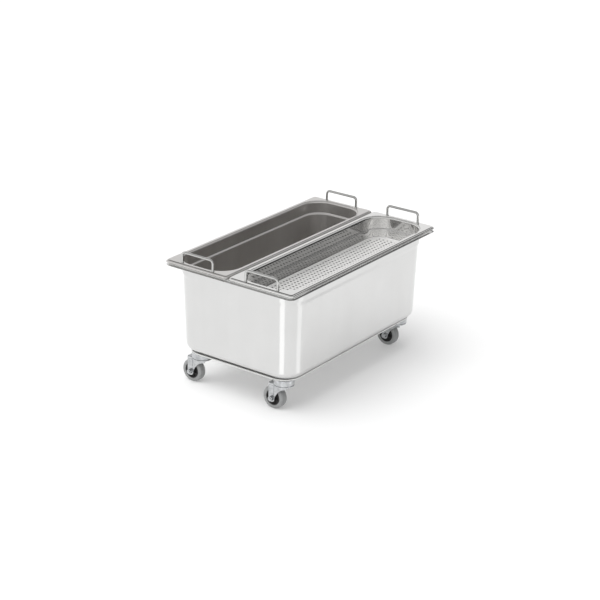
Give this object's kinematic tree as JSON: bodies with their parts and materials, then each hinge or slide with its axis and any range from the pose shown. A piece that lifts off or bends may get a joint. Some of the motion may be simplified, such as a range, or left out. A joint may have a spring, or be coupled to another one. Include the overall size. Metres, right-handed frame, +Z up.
{
  "type": "steam table unit",
  "caption": "Rolling stainless tub with a rolled rim on swivel casters, holding a deep solid pan and a shallow perforated pan side by side, each with wire bow handles.",
  "frame": {"origin": "on the floor under the centre of the tub", "axes": "+X along the unit, away from the front end; +Y across it, towards the solid pan; +Z up"},
  "size_m": [0.53, 0.33, 0.3084],
  "materials": {
    "tub_steel": "bright satin stainless steel",
    "base_plate_steel": "satin stainless steel",
    "solid_pan_steel": "satin stainless steel, drawn",
    "perforated_pan_steel": "polished stainless steel, perforated floor",
    "handle_wire": "polished round stainless wire",
    "zinc_sheet": "bright zinc-plated pressed steel",
    "zinc_hardware": "bright zinc-plated fasteners",
    "bearing_steel": "bare bearing steel",
    "hub_plastic": "black moulded plastic",
    "tyre_rubber": "non-marking grey rubber"
  },
  "bodies": {
    "trolley": {"tub": "tub_steel", "base_plate": "base_plate_steel", "front_left_mounting_stud": "zinc_hardware", "front_left_lock_nut": "zinc_hardware", "front_left_swivel_cup": "zinc_sheet", "front_left_kingpin": "zinc_hardware", "front_right_mounting_stud": "zinc_hardware", "front_right_lock_nut": "zinc_hardware", "front_right_swivel_cup": "zinc_sheet", "front_right_kingpin": "zinc_hardware", "rear_left_mounting_stud": "zinc_hardware", "rear_left_lock_nut": "zinc_hardware", "rear_left_swivel_cup": "zinc_sheet", "rear_left_kingpin": "zinc_hardware", "rear_right_mounting_stud": "zinc_hardware", "rear_right_lock_nut": "zinc_hardware", "rear_right_swivel_cup": "zinc_sheet", "rear_right_kingpin": "zinc_hardware"},
    "solid_pan": {"solid_pan": "solid_pan_steel", "solid_pan_front_handle": "handle_wire", "solid_pan_rear_handle": "handle_wire"},
    "perforated_pan": {"perforated_pan": "perforated_pan_steel", "perforated_pan_front_handle": "handle_wire", "perforated_pan_rear_handle": "handle_wire"},
    "front_left_swivel": {"front_left_swivel_balls": "bearing_steel", "front_left_fork": "zinc_sheet", "front_left_axle_bolt": "zinc_hardware", "front_left_axle_nut": "zinc_hardware", "front_left_axle_sleeve": "bearing_steel"},
    "front_left_wheel": {"front_left_wheel_hub": "hub_plastic", "front_left_tyre": "tyre_rubber"},
    "front_right_swivel": {"front_right_swivel_balls": "bearing_steel", "front_right_fork": "zinc_sheet", "front_right_axle_bolt": "zinc_hardware", "front_right_axle_nut": "zinc_hardware", "front_right_axle_sleeve": "bearing_steel"},
    "front_right_wheel": {"front_right_wheel_hub": "hub_plastic", "front_right_tyre": "tyre_rubber"},
    "rear_left_swivel": {"rear_left_swivel_balls": "bearing_steel", "rear_left_fork": "zinc_sheet", "rear_left_axle_bolt": "zinc_hardware", "rear_left_axle_nut": "zinc_hardware", "rear_left_axle_sleeve": "bearing_steel"},
    "rear_left_wheel": {"rear_left_wheel_hub": "hub_plastic", "rear_left_tyre": "tyre_rubber"},
    "rear_right_swivel": {"rear_right_swivel_balls": "bearing_steel", "rear_right_fork": "zinc_sheet", "rear_right_axle_bolt": "zinc_hardware", "rear_right_axle_nut": "zinc_hardware", "rear_right_axle_sleeve": "bearing_steel"},
    "rear_right_wheel": {"rear_right_wheel_hub": "hub_plastic", "rear_right_tyre": "tyre_rubber"}
  },
  "joints": [
    {"name": "solid_pan_lift", "type": "slide", "parent": "trolley", "child": "solid_pan", "axis": [0, 0, 1], "range_m": [0, 0.16]},
    {"name": "perforated_pan_lift", "type": "slide", "parent": "trolley", "child": "perforated_pan", "axis": [0, 0, 1], "range_m": [0, 0.06]},
    {"name": "front_left_caster_swivel", "type": "hinge", "parent": "trolley", "child": "front_left_swivel", "pos_m": [-0.21, 0.1076, 0.06], "axis": [0, 0, 1], "continuous": true},
    {"name": "front_left_wheel_spin", "type": "hinge", "parent": "front_left_swivel", "child": "front_left_wheel", "pos_m": [-0.21, 0.1296, 0.025], "axis": [1, 0, 0], "continuous": true},
    {"name": "front_right_caster_swivel", "type": "hinge", "parent": "trolley", "child": "front_right_swivel", "pos_m": [-0.21, -0.1076, 0.06], "axis": [0, 0, 1], "continuous": true},
    {"name": "front_right_wheel_spin", "type": "hinge", "parent": "front_right_swivel", "child": "front_right_wheel", "pos_m": [-0.21, -0.0856, 0.025], "axis": [1, 0, 0], "continuous": true},
    {"name": "rear_left_caster_swivel", "type": "hinge", "parent": "trolley", "child": "rear_left_swivel", "pos_m": [0.21, 0.1076, 0.06], "axis": [0, 0, 1], "continuous": true},
    {"name": "rear_left_wheel_spin", "type": "hinge", "parent": "rear_left_swivel", "child": "rear_left_wheel", "pos_m": [0.21, 0.1296, 0.025], "axis": [1, 0, 0], "continuous": true},
    {"name": "rear_right_caster_swivel", "type": "hinge", "parent": "trolley", "child": "rear_right_swivel", "pos_m": [0.21, -0.1076, 0.06], "axis": [0, 0, 1], "continuous": true},
    {"name": "rear_right_wheel_spin", "type": "hinge", "parent": "rear_right_swivel", "child": "rear_right_wheel", "pos_m": [0.21, -0.0856, 0.025], "axis": [1, 0, 0], "continuous": true}
  ]
}
